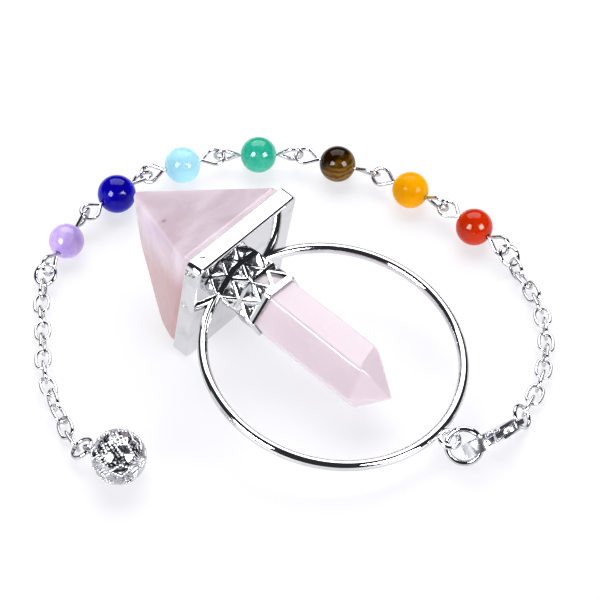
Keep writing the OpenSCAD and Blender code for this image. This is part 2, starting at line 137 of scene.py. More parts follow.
def rounded_polygon(count: int, radius: float, corner: float, turn: float, steps: int) -> np.ndarray:
    """Points round a regular polygon with round corners.

    Args:
        count: Its number of corners.
        radius: Distance from the middle to the corners, before rounding.
        corner: The corners' radius.
        turn: The first corner's angle.
        steps: Pieces in each corner.

    Returns:
        The points as rows of two numbers.
    """
    spoke = radius - corner / math.cos(math.pi / count)
    middles = np.repeat(math.radians(turn) + full_turn(count), steps + 1)
    bends = middles + np.tile(np.linspace(-math.pi, math.pi, steps + 1) / count, count)
    return (circle(spoke, middles) + circle(corner, bends))[:, :2]


def rounded_square(half: float, corner: float) -> np.ndarray:
    """Points round a square with round corners, from half of its side and the corners' radius."""
    return rounded_polygon(4, half * math.sqrt(2), corner, turn=45, steps=6)


def rounded_path(points: list[np.ndarray], trims: list[float], steps: int = 4) -> list[np.ndarray]:
    """Rounds the inner corners of a line of points.

    Args:
        points: The line's points.
        trims: For each inner point, how far before and after it the rounding reaches.
        steps: Pieces in each rounding.

    Returns:
        The points of the rounded line.
    """
    line = [points[0]]
    for before, here, after, trim in zip(points, points[1:], points[2:], trims):
        start, end = (here + trim * (far - here) / np.linalg.norm(far - here) for far in (before, after))
        for t in np.linspace(0, 1, steps + 1):
            line.append((1 - t) ** 2 * start + 2 * t * (1 - t) * here + t * t * end)
    return [*line, points[-1]]


@dataclass(frozen=True)
class Measured:
    """Middle and two main axes of a solid, from the moments of its surface."""

    middle: np.ndarray
    long_axis: np.ndarray
    cross_axis: np.ndarray

    @staticmethod
    def of(node: str) -> "Measured":
        """Measures a solid.

        Args:
            node: The solid's name.

        Returns:
            Its middle and its axes, the one with the longest spread first.
        """
        mesh = bpy.data.objects[node].data
        mesh.calc_loop_triangles()
        points = np.array([vertex.co for vertex in mesh.vertices])
        corners = points[np.array([triangle.vertices for triangle in mesh.loop_triangles])] / MM
        a, b, c = corners[:, 0], corners[:, 1], corners[:, 2]
        areas = np.linalg.norm(np.cross(b - a, c - a), axis=1) / 2
        total = a + b + c
        middle = (areas[:, None] * total).sum(0) / 3 / areas.sum()
        spread = sum(np.einsum("n,ni,nj->ij", areas, p, p) for p in (a, b, c, total)) / 12 / areas.sum()
        _, axes = np.linalg.eigh(spread - np.outer(middle, middle))
        return Measured(middle, axes[:, 2], axes[:, 1])

    def matrix(self) -> Matrix:
        """The frame in metres, with +X along the long axis and +Z along the thin one."""
        thin = np.cross(self.long_axis, self.cross_axis)
        return Matrix(np.column_stack([self.long_axis, self.cross_axis, thin, self.middle * MM])).to_4x4()


# Meshes


def in_scene(data: bpy.types.ID) -> Object:
    """Makes an object of a mesh, a lamp or a camera and puts it in the scene.

    Args:
        data: What it is made of, which has its name.

    Returns:
        The object.
    """
    made = bpy.data.objects.new(data.name, data)
    bpy.context.scene.collection.objects.link(made)
    return made


def smooth_piece(mesh: bpy.types.Mesh, work: bmesh.types.BMesh, finish: Material,
                 sharp_angle: float) -> Object:
    """Makes a smooth object of worked faces.

    Args:
        mesh: The mesh that takes them.
        work: The faces, which are used up.
        finish: The piece's finish.
        sharp_angle: Edges that turn more than this stay sharp.

    Returns:
        The object.
    """
    work.to_mesh(mesh)
    work.free()
    mesh.shade_smooth()
    mesh.set_sharp_from_angle(angle=math.radians(sharp_angle))
    mesh.materials.append(finish)
    return in_scene(mesh)


class MeshWork:
    """Gathers rows of points and faces, and makes one object of them."""

    def __init__(self) -> None:
        """Starts with no points."""
        self.points: list[tuple[float, ...]] = []
        self.faces: list[tuple[int, ...]] = []

    def loop(self, points: list | np.ndarray) -> list[int]:
        """Adds a row of points.

        Args:
            points: The points.

        Returns:
            Their numbers in the mesh.
        """
        first = len(self.points)
        self.points.extend(tuple(float(v) * MM for v in point) for point in points)
        return list(range(first, len(self.points)))

    def skin(self, rows: list[list[int]], ends: bool = True) -> None:
        """Joins rows that run round, each to the next one.

        Args:
            rows: The rows, all of the same length.
            ends: Whether a face closes the first row and another one the last row.
        """
        for one, two in zip(rows, rows[1:]):
            self.faces += zip(one, one[1:] + one[:1], two[1:] + two[:1], two)
        if ends:
            self.faces += [tuple(rows[0]), tuple(rows[-1])]

    def tube(self, path: np.ndarray, radius: float, sides: int, closed: bool = False) -> None:
        """Adds a round wire along a path.

        Args:
            path: The points of the wire's middle.
            radius: The wire's radius.
            sides: Points round the wire.
            closed: Whether the wire runs round.
        """
        after, before = np.roll(path, -1, axis=0), np.roll(path, 1, axis=0)
        if not closed:
            after[-1], before[0] = path[-1], path[0]
        tangents = after - before
        tangents /= np.linalg.norm(tangents, axis=1)[:, None]
        side = np.cross(tangents[0], TUBE_START)
        ring = circle(radius, full_turn(sides))[:, :2]
        rows = []
        for at, tangent in zip(path, tangents):
            side = side - tangent * float(side @ tangent)
            side /= np.linalg.norm(side)
            rows.append(self.loop(at + ring @ np.array([side, np.cross(tangent, side)])))
        if closed:
            start = np.array(self.points[rows[-1][0]])
            gaps = [float(np.linalg.norm(np.array(self.points[k]) - start)) for k in rows[0]]
            shift = gaps.index(min(gaps))
            rows.append(rows[0][shift:] + rows[0][:shift])
        self.skin(rows, ends=not closed)

    def ball(self, middle: np.ndarray | Place, radius: float, rings: int = 6, sides: int = 10) -> None:
        """Adds a small ball, such as a granule.

        Args:
            middle: The ball's middle.
            radius: Its radius.
            rings: Rows of points between its poles.
            sides: Points round it.
        """
        lifts = math.pi * ((np.arange(rings) + 0.5) / rings - 0.5)
        self.skin([self.loop(circle(radius * math.cos(lift), full_turn(sides)) + np.array(middle)
                             + [0, 0, radius * math.sin(lift)]) for lift in lifts])

    def make(self, name: str, place: Matrix, finish: Material, sharp_angle: float = 35) -> Object:
        """Makes the object.

        Args:
            name: The piece's name.
            place: Where the piece's own frame is, in metres.
            finish: Its finish.
            sharp_angle: Edges that turn more than this stay sharp.

        Returns:
            The new object.
        """
        mesh = bpy.data.meshes.new(name)
        mesh.from_pydata(self.points, [], self.faces)
        mesh.transform(place)
        work = bmesh.new()
        work.from_mesh(mesh)
        bmesh.ops.recalc_face_normals(work, faces=work.faces)
        return smooth_piece(mesh, work, finish, sharp_angle)


def settle(piece: Object, slot: Slot, *nodes: str, body: str = ROOT_BODY) -> None:
    """Lets a piece ride on its body and stand for its solids.

    Args:
        piece: The piece, in place.
        slot: The slot that its finish belongs to; it is not used.
        nodes: The solids that it stands for.
        body: The body that carries it.
    """
    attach(piece, body)
    if nodes:
        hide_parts(*nodes)
    LOG.info("%s rides on %s", piece.name, body)


def dress_solid(node: str, finish: Material) -> None:
    """Gives a solid that keeps its own shape its finish.

    Args:
        node: The solid's name.
        finish: Its finish.
    """
    solid = bpy.data.objects[node]
    solid.data.materials.clear()
    solid.data.materials.append(finish)
    LOG.info("%s keeps its solid", node)


# Effects that several finishes share


def colour(red: float, green: float, blue: float) -> Colour:
    """A colour with full cover, from its three linear parts."""
    return (red, green, blue, 1.0)


class EffectGroup:
    """A shader node group that several finishes place with their own values."""

    def __init__(self, name: str, **inputs: float | Place | Colour) -> None:
        """Makes the group with its inputs, and a place as one more.

        Args:
            name: The group's name.
            inputs: Each input's value where a finish gives none; an underscore stands for a space.
        """
        self.tree = bpy.data.node_groups.new(name, "ShaderNodeTree")
        for socket, value in {"Vector": (0, 0, 0), **inputs}.items():
            kind = SOCKET_KINDS[len(value) if isinstance(value, tuple) else 1]
            made = self.tree.interface.new_socket(socket.replace("_", " "), in_out="INPUT", socket_type=kind)
            made.default_value = value
        self.given = self.tree.nodes.new("NodeGroupInput").outputs

    def node(self, kind: str, inputs: dict[int | str, object], **settings: str) -> Node:
        """Adds a node.

        Args:
            kind: Its type.
            inputs: Its inputs, each a value or a socket.
            settings: Its properties.

        Returns:
            The node.
        """
        made = self.tree.nodes.new(kind)
        for key, value in settings.items():
            setattr(made, key, value)
        for key, value in inputs.items():
            if isinstance(value, Socket):
                self.tree.links.new(value, made.inputs[key])
            else:
                made.inputs[key].default_value = value
        return made

    def math(self, operation: str, *values: float | Socket) -> Socket:
        """Adds a Math node with its values, and gives its output."""
        return self.node("ShaderNodeMath", dict(enumerate(values)), operation=operation).outputs[0]

    def noise(self, scale: float | Socket, detail: float, distortion: float = 0,
              place: Socket | None = None) -> Socket:
        """Adds a Noise texture at the group's own place or at another one, and gives its value."""
        inputs = {"Vector": place or self.given["Vector"], "Scale": scale, "Detail": detail}
        return self.node("ShaderNodeTexNoise", {**inputs, "Distortion": distortion}).outputs["Fac"]

    def blend(self, share: Socket, one: Colour | Socket, two: Colour | Socket) -> Socket:
        """Blends two colours by the share of the second one, and gives the colour."""
        return self.node("ShaderNodeMix", {"Factor": share, 6: one, 7: two}, data_type="RGBA").outputs[2]

    def ramp(self, value: Socket, low: float, high: float) -> Socket:
        """Turns a range of a value into nought to one, smoothly."""
        inputs = {"Value": value, "From Min": low, "From Max": high}
        return self.node("ShaderNodeMapRange", inputs, interpolation_type="SMOOTHSTEP").outputs["Result"]

    def along(self, run: str, start: str) -> Socket:
        """Gives how far the place is along a run.

        Args:
            run: Name of the input with the run's direction, as long as one over the run's length.
            start: Name of the input with the value at the scene's middle.

        Returns:
            The value, which rises along the run.
        """
        inputs = {0: self.given["Vector"], 1: self.given[run]}
        dot = self.node("ShaderNodeVectorMath", inputs, operation="DOT_PRODUCT").outputs["Value"]
        return self.math("ADD", dot, self.given[start])

    def finished(self, **outputs: Socket) -> NodeTree:
        """Gives the group its outputs.

        Args:
            outputs: What feeds each output.

        Returns:
            The finished group.
        """
        for name in outputs:
            kind = SOCKET_KINDS[4 if name == "Color" else 1]
            self.tree.interface.new_socket(name, in_out="OUTPUT", socket_type=kind)
        result = self.tree.nodes.new("NodeGroupOutput")
        for name, socket in outputs.items():
            self.tree.links.new(socket, result.inputs[name])
        return self.tree


WHITE = colour(1, 1, 1)


def handling_marks() -> NodeTree:
    """Builds the marks of polishing and handling on plated metal: hazy spots and fine hair lines.

    Returns:
        The effect.
    """
    group = EffectGroup("handling_marks", Polish=0.04, Haze=0.06, Tarnish=WHITE, Plating=WHITE)
    given = group.given
    spots = group.ramp(group.noise(420, 3), 0.5, 0.75)
    stretched = group.node("ShaderNodeMapping", {
        "Vector": given["Vector"], "Scale": (300, 5200, 5200), "Rotation": (0.3, 0.5, 0.7)})
    hairs = group.ramp(group.noise(1, 2, place=stretched.outputs["Vector"]), 0.6, 0.72)
    haze = group.math("MULTIPLY", group.math("MAXIMUM", spots, hairs), given["Haze"])
    return group.finished(
        Color=group.blend(spots, given["Plating"], given["Tarnish"]),
        Roughness=group.math("ADD", haze, given["Polish"]),
        Height=group.math("SUBTRACT", group.noise(230, 1), group.math("MULTIPLY", hairs, 0.02)))


def cloudy_stone() -> NodeTree:
    """Builds cloudy stone: clouds of two colours, a deeper colour towards one side that is partly the stone's
    own tint and partly painted shade, pale veins, fine specks and a spot.

    Returns:
        The effect.
    """
    group = EffectGroup(
        "cloudy_stone", Pale=WHITE, Deep=WHITE, Vein=WHITE, Blush=WHITE, Clouds=150, Veins=0.3, Specks=0.1,
        Blush_Run=(0, 0, 0), Blush_Start=0, Spot=(0, 0, 0), Spot_Size=0.0001)
    given = group.given
    clouds = group.ramp(group.noise(given["Clouds"], 4, 0.6), 0.3, 0.7)
    wobble = group.math("MULTIPLY", group.math("SUBTRACT", group.noise(120, 3, 0.8), 0.5), 0.9)
    # The deeper colour grows along a run; on the pyramid it is partly the stone's own pink and partly painted
    # shade towards the table.
    along = group.math("ADD", group.along("Blush Run", "Blush Start"), group.math("MULTIPLY", wobble, clouds))
    fields = group.blend(group.ramp(along, 0.3, 1.1), group.blend(clouds, given["Pale"], given["Deep"]),
                         given["Blush"])
    wander = group.noise(group.math("MULTIPLY", given["Clouds"], 0.8), 5, 1.2)
    off_vein = group.ramp(group.math("ABSOLUTE", group.math("SUBTRACT", wander, 0.5)), 0, 0.03)
    vein = group.math("SUBTRACT", 1, off_vein)
    veined = group.blend(group.math("MULTIPLY", vein, given["Veins"]), fields, given["Vein"])
    specks = group.math("MULTIPLY", group.ramp(group.noise(2600, 1), 0.62, 0.74), given["Specks"])
    specked = group.blend(specks, veined, given["Vein"])
    away = group.node("ShaderNodeVectorMath", {0: given["Vector"], 1: given["Spot"]}, operation="DISTANCE")
    off_spot = group.ramp(group.math("DIVIDE", away.outputs["Value"], given["Spot Size"]), 0.4, 1)
    spot = group.math("MULTIPLY", group.math("SUBTRACT", 1, off_spot), 0.45)
    return group.finished(Color=group.blend(spot, specked, colour(0.12, 0.06, 0.08)),
                          Height=group.math("ADD", clouds, vein))


def silky_bands() -> NodeTree:
    """Builds silky golden bands across a dark stone, stronger to one side.

    Returns:
        The effect.
    """
    group = EffectGroup("silky_bands", Dark=WHITE, Gold=WHITE, Bands=300, Gold_Run=(0, 0, 0), Gold_Start=0)
    given = group.given
    wave = group.node("ShaderNodeTexWave", {
        "Vector": given["Vector"], "Scale": given["Bands"], "Distortion": 7, "Detail": 3, "Detail Scale": 1.6,
    }, wave_type="BANDS", bands_direction="Z").outputs["Fac"]
    patches = group.math("MULTIPLY", group.noise(420, 2), 1.2)
    side = group.ramp(group.math("ADD", group.along("Gold Run", "Gold Start"), patches), 0.25, 1.15)
    silk = group.math("MULTIPLY", group.math("ADD", group.math("MULTIPLY", wave, 0.7), 0.3), side)
    return group.finished(Color=group.blend(silk, given["Dark"], given["Gold"]), Height=wave)


def close_pits() -> NodeTree:
    """Builds close round pits in plating, with painted shade at their bottom.

    Returns:
        The effect.
    """
    group = EffectGroup("close_pits", Plating=WHITE, Dark=colour(0.01, 0.01, 0.01), Pits=1000)
    cells = group.node("ShaderNodeTexVoronoi", {
        "Vector": group.given["Vector"], "Scale": group.given["Pits"], "Randomness": 0.35})
    rise = group.ramp(cells.outputs["Distance"], 0.12, 0.36)
    # The pits are only a bump, so the dark colour at their bottom is painted shade.
    return group.finished(Color=group.blend(rise, group.given["Dark"], group.given["Plating"]), Height=rise)


class Effects:
    """The shared effects, each built once."""

    def __init__(self) -> None:
        """Builds them."""
        self.marks = handling_marks()
        self.clouds = cloudy_stone()
        self.bands = silky_bands()
        self.pits = close_pits()


# Finishes


def put(node: Node, values: dict[str, object]) -> None:
    """Gives a node's inputs their values."""
    for key, value in values.items():
        node.inputs[key].default_value = value


def new_finish(name: str) -> tuple[Material, Node]:
    """Makes a material.

    Args:
        name: The material's name.

    Returns:
        The material and its Principled shader.
    """
    material = bpy.data.materials.new(name)
    material.use_nodes = True
    return material, material.node_tree.nodes["Principled BSDF"]


def effect_finish(name: str, effect: NodeTree, values: dict[str, object], depth: float,
                  constants: dict[str, object]) -> Material:
    """Makes a material of one effect, at the piece's own place, and one Principled shader.

    Args:
        name: The material's name.
        effect: The effect.
        values: The effect's values.
        depth: The real depth of the effect's height, in metres.
        constants: The shader's own values, the same all over.

    Returns:
        The material.
    """
    material, principled = new_finish(name)
    nodes, link = material.node_tree.nodes, material.node_tree.links.new
    group = nodes.new("ShaderNodeGroup")
    group.node_tree = effect
    put(group, values)
    link(nodes.new("ShaderNodeTexCoord").outputs["Object"], group.inputs["Vector"])
    relief = nodes.new("ShaderNodeBump")
    put(relief, {"Strength": 1, "Distance": depth})
    link(group.outputs["Height"], relief.inputs["Height"])
    link(relief.outputs["Normal"], principled.inputs["Normal"])
    link(group.outputs["Color"], principled.inputs["Base Color"])
    if "Roughness" in group.outputs:
        link(group.outputs["Roughness"], principled.inputs["Roughness"])
    put(principled, constants)
    return material


@dataclass(frozen=True)
class SilverFinish:
    """Silver-coloured plating with its polish and marks; its waviness is in metres."""

    name: str
    plating: Colour = colour(0.68, 0.68, 0.70)
    tarnish: Colour = colour(0.6, 0.6, 0.62)
    polish: float = 0.03
    haze: float = 0.05
    waviness: float = 0.000012

    def material(self, effects: Effects) -> Material:
        """Makes the finish's material."""
        values = {"Polish": self.polish, "Haze": self.haze, "Plating": self.plating, "Tarnish": self.tarnish}
        return effect_finish(self.name, effects.marks, values, self.waviness, {"Metallic": 1})


@dataclass(frozen=True)
class PittedSilver:
    """Plating with close small pits, as on pierced filigree, with painted shade at their bottom; their depth
    is in metres.
    """

    name: str
    plating: Colour = colour(0.42, 0.42, 0.46)
    polish: float = 0.06
    pits: float = 1250
    pit_depth: float = 0.00012

    def material(self, effects: Effects) -> Material:
        """Makes the finish's material."""
        return effect_finish(self.name, effects.pits, {"Plating": self.plating, "Pits": self.pits},
                             self.pit_depth, {"Metallic": 1, "Roughness": self.polish})


@dataclass(frozen=True)
class StoneFinish:
    """Polished cloudy stone; its lengths are in metres."""

    name: str
    pale: Colour
    deep: Colour
    vein: Colour
    clouds: float = 260
    veins: float = 0.15
    specks: float = 0.05
    glow: float = 0.25
    glow_reach: float = 0.0012
    # The next three values deepen the colour towards one side; on the pyramid this is partly its own pink and
    # partly painted shade towards the table.
    blush_and_shade: Colour = colour(0.5, 0.5, 0.5)
    blush_and_shade_run: Place = (0, 0, 0)
    blush_and_shade_start: float = 0
    spot: Place = (0, 0, 1)
    spot_size: float = 0.00055
    gloss: float = 0.035
    shine: float = 0.3
    relief: float = 0.000002

    def constants(self) -> dict[str, object]:
        """The shader's own values: gloss, shine and the glow under the surface."""
        return {"Roughness": self.gloss, "IOR": 1.54, "Specular IOR Level": self.shine,
                "Subsurface Weight": self.glow, "Subsurface Scale": self.glow_reach,
                "Subsurface Radius": (1, 0.7, 0.8)}

    def material(self, effects: Effects) -> Material:
        """Makes the finish's material."""
        values = {"Pale": self.pale, "Deep": self.deep, "Vein": self.vein, "Clouds": self.clouds,
                  "Veins": self.veins, "Specks": self.specks, "Blush": self.blush_and_shade,
                  "Blush Run": self.blush_and_shade_run, "Blush Start": self.blush_and_shade_start,
                  "Spot": self.spot, "Spot Size": self.spot_size}
        return effect_finish(self.name, effects.clouds, values, self.relief, self.constants())


@dataclass(frozen=True)
class BandedFinish(StoneFinish):
    """Polished dark stone with silky golden bands on one side."""

    bands: float = 330
    around: str = "brown_bead"
    gold_run: Place = (275, -53, -206)

    def material(self, effects: Effects) -> Material:
        """Makes the finish's material, with its gold to one side of the bead's middle.

        Args:
            effects: The shared effects.

        Returns:
            The material.
        """
        low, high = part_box(self.around)
        start = -(Vector(low) + Vector(high)).dot(Vector(self.gold_run)) / 2
        values = {"Dark": self.deep, "Gold": self.pale, "Bands": self.bands,
                  "Gold Run": self.gold_run, "Gold Start": start}
        return effect_finish(self.name, effects.bands, values, self.relief, self.constants())


# Pendant


@dataclass
class LyingPendant:
    """How the pendant lies: its own +X runs from the tray's back plate to the crystal's tip."""

    slope: float = 10.4
    plate_middle: tuple[float, float] = (-5.43, -1.91)
    tray_side: float = 22

    def matrix(self) -> Matrix:
        """The pendant's own frame in metres.

        Returns:
            The frame.
        """
        slope = math.radians(self.slope)
        middle = Vector((*self.plate_middle, self.tray_side / 2 * math.cos(slope))) * MM
        return Matrix.Translation(middle) @ Matrix.Rotation(slope, 4, "Y")


@dataclass(frozen=True)
class CollarCell:
    """Triangular field of the collar: a straight side across the axis, and a point along it."""

    base: float
    point: float
    run: float
    pitch: float = 1 / 3

    def outline(self, side_in: float, point_in: float, samples: int) -> list[np.ndarray]:
        """Places round the field, or a little inside it.

        Args:
            side_in: How far inside the straight side's ends are, round the collar.
            point_in: How far inside the point is, along the axis.
            samples: Places on each of the three sides.

        Returns:
            The places, each round the collar and along the axis.
        """
        half = self.pitch - side_in
        top = self.point - math.copysign(point_in, self.point - self.base)
        corners = [(self.run - half, self.base), (self.run + half, self.base), (self.run, top)]
        return round_trip(corners, samples)


@dataclass
class SilverFrame:
    """Square tray, pierced collar, wire hoop and the hoop's eye."""

    lie: LyingPendant
    tray_depth: float = 2.8
    tray_wall: float = 0.7
    plate_thick: float = 1
    tray_corner: float = 1.1
    edge_round: float = 0.26
    plate_edge_round: float = 0.42
    pocket_edge: float = 0.05
    dimple: tuple[float, float] = (-1.9, -8.3)
    dimple_radius: float = 0.6
    dimple_sunk: float = 0.42
    scratch: tuple[tuple[float, float], ...] = ((-2.5, 1.6), (-1.7, 1.3), (-1.3, 1.5), (-0.5, 0.4))
    scratch_radius: float = 0.075
    scratch_sunk: float = 0.05
    collar_length: float = 7.5
    collar_foot: float = 5.3
    collar_rim: float = 5.65
    collar_wall: float = 0.45
    collar_turn: float = -4
    collar_sunk: float = 0.2
    collar_band: float = 0.5
    collar_rim_band: float = 1.05
    collar_edge: float = 0.12
    corner_pull: float = 0.012
    corner_reach: float = 0.045
    row_cells: int = 18
    strut_width: float = 0.55
    foil_inset: float = 0.7
    foil_depth: float = 0.1
    foil_hollow: float = 0.4
    foil_corner: tuple[float, float] = (0.42, 0.55)
    foil_side: tuple[float, float] = (0.6, 0.9)
    foil_boss: float = 0.12
    foil_back: float = 0.08
    foil_sheet: float = 0.03
    bare_windows: tuple[int, int] = (22, 23)
    hoop_radius: float = 19.9
    hoop_wire: float = 1.65
    hoop_bite: float = 0.8
    hoop_end: float = 165.6
    eye_radius: float = 1.4
    eye_wire: float = 0.84
    eye_turn: float = 2.3

    def build_tray(self, silver: Material) -> Object:
        """Builds the tray with rounded edges and its pocket for the stone.

        Args:
            silver: The plating.

        Returns:
            The tray.
        """
        plate_edge, edge, deep, wall = self.plate_edge_round, self.edge_round, self.tray_depth, self.tray_wall
        profile = [(-plate_edge * (1 - math.cos(turn)), plate_edge * (1 - math.sin(turn)))
                   for turn in np.linspace(0, math.pi / 2, 7)]
        profile += [(edge * (1 - math.sin(turn)) - deep, edge * (1 - math.cos(turn)))
                    for turn in np.linspace(0, math.pi / 2, 5)]
        profile += [(-deep, wall - self.pocket_edge), (self.pocket_edge - deep, wall),
                    (-self.plate_thick, wall)]
        side = self.lie.tray_side / 2
        work = MeshWork()
        work.skin([work.loop(across(reach, rounded_square(side - inset, self.tray_corner - inset)))
                   for reach, inset in profile])
        work.ball((*self.dimple, side - self.dimple_sunk), self.dimple_radius, rings=14, sides=20)
        scratch = np.array([[x, self.scratch_sunk - side, z] for x, z in self.scratch])
        work.tube(scratch, self.scratch_radius, sides=8)
        return work.make("tray_shell", self.lie.matrix(), silver)

    def collar_point(self, side_run: float, reach: float, depth: float) -> Place:
        """A point of the collar's wall.

        Args:
            side_run: The place round the collar, a whole number at each corner.
            reach: The place along the axis.
            depth: The depth under the outer face.

        Returns:
            The point in the pendant's own frame.
        """
        radius = self.collar_foot + (self.collar_rim - self.collar_foot) * reach / self.collar_length
        radius -= depth / math.cos(math.radians(30))
        side = math.floor(side_run)
        t = side_run - side
        one, two = circle(radius, np.radians(self.collar_turn + 60 * np.array([side, side + 1])))
        pull = 1 - self.corner_pull * max(0.0, 1 - min(t, 1 - t) / self.corner_reach)
        y, z, _ = pull * ((1 - t) * one + t * two)
        return (reach, y, z)

    @property
    def cell_height(self) -> float:
        """The height of one row of cells."""
        return (self.collar_length - 2 * self.collar_band - self.collar_rim_band) / 2

    def cells(self) -> list[CollarCell]:
        """The collar's triangular cells, the foot's row first.

        Returns:
            The cells.
        """
        found = []
        for level, low in enumerate((self.collar_band, 2 * self.collar_band + self.cell_height)):
            for k in range(self.row_cells):
                ends = (low, low + self.cell_height)
                base, point = ends[::-1] if (k + level) % 2 else ends
                found.append(CollarCell(base, point, k / 3))
        return found

    def collar_window(self, work: MeshWork, cell: CollarCell) -> None:
        """Adds one pierced cell: a triangular window with a rounded edge in its triangular field.

        Args:
            work: The collar's mesh.
            cell: The cell.
        """
        height, wide = abs(cell.point - cell.base), cell.pitch * self.collar_foot
        half, edge, wall = self.strut_width / 2, self.collar_edge, self.collar_wall
        profile = ((half, 0), (edge, 0), (0.3 * edge, 0.3 * edge), (0, edge), (0, wall), (half, wall))
        rows = []
        for grow, depth in profile:
            slant = (half - grow) * math.hypot(height, wide)
            outline = cell.outline(slant / height / self.collar_foot, slant / wide, samples=8)
            rows.append(work.loop([self.collar_point(*at, depth) for at in outline]))
        work.skin(rows, ends=False)

    def foil_cell(self, work: MeshWork, cell: CollarCell) -> None:
        """Adds the hollow foil that shows behind one window.

        Args:
            work: The foil's mesh.
            cell: The window's cell.
        """
        inset = self.foil_inset * self.strut_width
        back = self.collar_wall + self.foil_back
        middle = np.array([cell.run, (2 * cell.base + cell.point) / 3])
        edge = cell.outline(inset / self.collar_foot, inset, samples=2)
        hollow = []
        for i, at in enumerate(edge):
            share, sunk = (self.foil_corner, self.foil_side)[i % 2]
            depth = min(self.foil_depth + self.foil_hollow * sunk, back - self.foil_sheet)
            hollow.append(self.collar_point(*(middle + (at - middle) * share), depth))
        rear = work.loop([self.collar_point(*at, back) for at in edge])
        front = work.loop([self.collar_point(*at, self.foil_depth) for at in edge])
        ring = work.loop(hollow)
        boss = work.loop([self.collar_point(*middle, self.foil_depth + self.foil_boss)])
        work.skin([rear, front, ring], ends=False)
        work.faces += zip(ring, ring[1:] + ring[:1], boss * len(ring))
        work.faces.append(tuple(rear))

    def build_collar(self, silver: Material) -> Object:
        """Builds the six-sided collar with its two rows of triangular windows.

        Args:
            silver: The plating.

        Returns:
            The collar.
        """
        work = MeshWork()
        for cell in self.cells():
            self.collar_window(work, cell)
        band, edge, wall, top = self.collar_band, self.collar_edge, self.collar_wall, self.collar_length
        bands = ((-self.collar_sunk, band), (band + self.cell_height, 2 * band + self.cell_height),
                 (top - self.collar_rim_band, top))
        for low, high in bands:
            lip = edge if high == top else 0
            profile = ((low, 0), (high - lip, 0), (high - 0.3 * lip, 0.3 * lip), (high, lip), (high, wall),
                       (low, wall))
            rows = [work.loop([self.collar_point(i / 24, reach, depth) for i in range(144)])
                    for reach, depth in profile]
            work.skin([*rows, rows[0]], ends=False)
        return work.make("collar_cage", self.lie.matrix(), silver)

    def build_foil(self, foil: Material) -> Object:
        """Builds the bright foil behind the windows; the bare windows show the crystal instead.

        Args:
            foil: The foil's finish.

        Returns:
            The foil.
        """
        work = MeshWork()
        for number, cell in enumerate(self.cells()):
            if number not in self.bare_windows:
                self.foil_cell(work, cell)
        return work.make("collar_foil", self.lie.matrix(), foil, sharp_angle=12)

    def build_hoop(self, silver: Material) -> list[Object]:
        """Builds the hoop, whose ends run into the plate, and its eye.

        Args:
            silver: The plating.

        Returns:
            The hoop and the eye.
        """
        middle = np.array([self.hoop_radius - self.hoop_bite, 0, 0])
        turns = np.radians(np.linspace(-self.hoop_end, self.hoop_end, 181))
        hoop = MeshWork()
        hoop.tube(middle + circle(self.hoop_radius, turns), self.hoop_wire / 2, sides=32)
        spoke = self.hoop_radius + self.hoop_wire / 2 + self.eye_radius
        at = middle + circle(spoke, np.radians([self.eye_turn]))[0]
        eye = MeshWork()
        eye.tube(at + circle(self.eye_radius, full_turn(64)), self.eye_wire / 2, sides=24, closed=True)
        lie = self.lie.matrix()
        return [hoop.make("hoop_wire", lie, silver), eye.make("hoop_eye", lie, silver)]

    def build(self, silver: Material, foil: Material) -> None:
        """Builds and dresses the frame.

        Args:
            silver: The plating.
            foil: The finish of the foil behind the collar's windows.
        """
        for piece in [self.build_tray(silver), self.build_collar(silver), *self.build_hoop(silver)]:
            settle(piece, Slot.FRAME_SILVER, "pendant_frame")
        settle(self.build_foil(foil), Slot.FRAME_SILVER)


@dataclass(frozen=True)
class RoundTip:
    """Small round tip of a stone, and the angle in radians at which the stone's faces run into it."""

    middle: float
    radius: float
    lean: float
    steps: int

    def reach(self, turn: float) -> float:
        """The place along the axis of the ring at an angle."""
        return self.middle + self.radius * math.sin(turn)

    def close(self, lines: list[list[np.ndarray]], name: str, place: Matrix, stone: Material) -> Object:
        """Makes a stone that ends in this tip.

        Args:
            lines: Lines of points along the stone, side by side, up to the tip.
            name: The piece's name.
            place: Where the piece's own frame is, in metres.
            stone: Its finish.

        Returns:
            The stone.
        """
        work = MeshWork()
        rows = [np.array(row) for row in zip(*lines)]
        neck = rows[-1][:, 1:] / math.cos(self.lean)
        for turn in np.linspace(self.lean, math.pi / 2, self.steps + 1)[1:-1]:
            rows.append(across(self.reach(turn), neck * math.cos(turn)))
        work.skin([work.loop(row) for row in rows])
        return work.make(name, place, stone, sharp_angle=60)


@dataclass
class PyramidStone:
    """Pink pyramid with a straight band at the tray and a blunt tip."""

    lie: LyingPendant
    seat: float = -1.1
    side: float = 20.4
    band_top: float = -4
    corner: float = 0.5
    tip: float = -22.4
    tip_radius: float = 0.9
    edge_round: float = 0.35
    ridge_knees: tuple[tuple[float, float], ...] = ((-6.1, 8.8), (-16.3, 3.45))
    knee_round: float = 1.3

    def build(self, stone: Material) -> None:
        """Builds and dresses the pyramid, whose one ridge is fuller than the others.

        Args:
            stone: Its finish.
        """
        middle = self.tip + self.tip_radius
        lean = math.atan2(self.side / 2 - self.tip_radius, self.band_top - middle)
        tip = RoundTip(middle, -self.tip_radius, lean, steps=6)
        narrow = self.tip_radius * math.cos(lean)
        lines = []
        base, neck = rounded_square(self.side / 2, self.corner), rounded_square(narrow + 1e-4, narrow)
        for foot, top in zip(base, neck):
            start, end = np.array([self.band_top, *foot]), np.array([tip.reach(lean), *top])
            points = [np.array([self.seat, *foot]), start]
            for reach, away in self.ridge_knees:
                at = reach - self.tip_radius * math.sin(lean)
                if max(foot) < 0:
                    points.append(np.array([at, *(top - away)]))
                else:
                    points.append(start + (end - start) * (at - start[0]) / (end[0] - start[0]))
            lines.append(rounded_path([*points, end], [self.edge_round, self.knee_round, self.knee_round]))
        piece = tip.close(lines, "pyramid_cut", self.lie.matrix(), stone)
        settle(piece, Slot.ROSE_QUARTZ, "pyramid_stone")


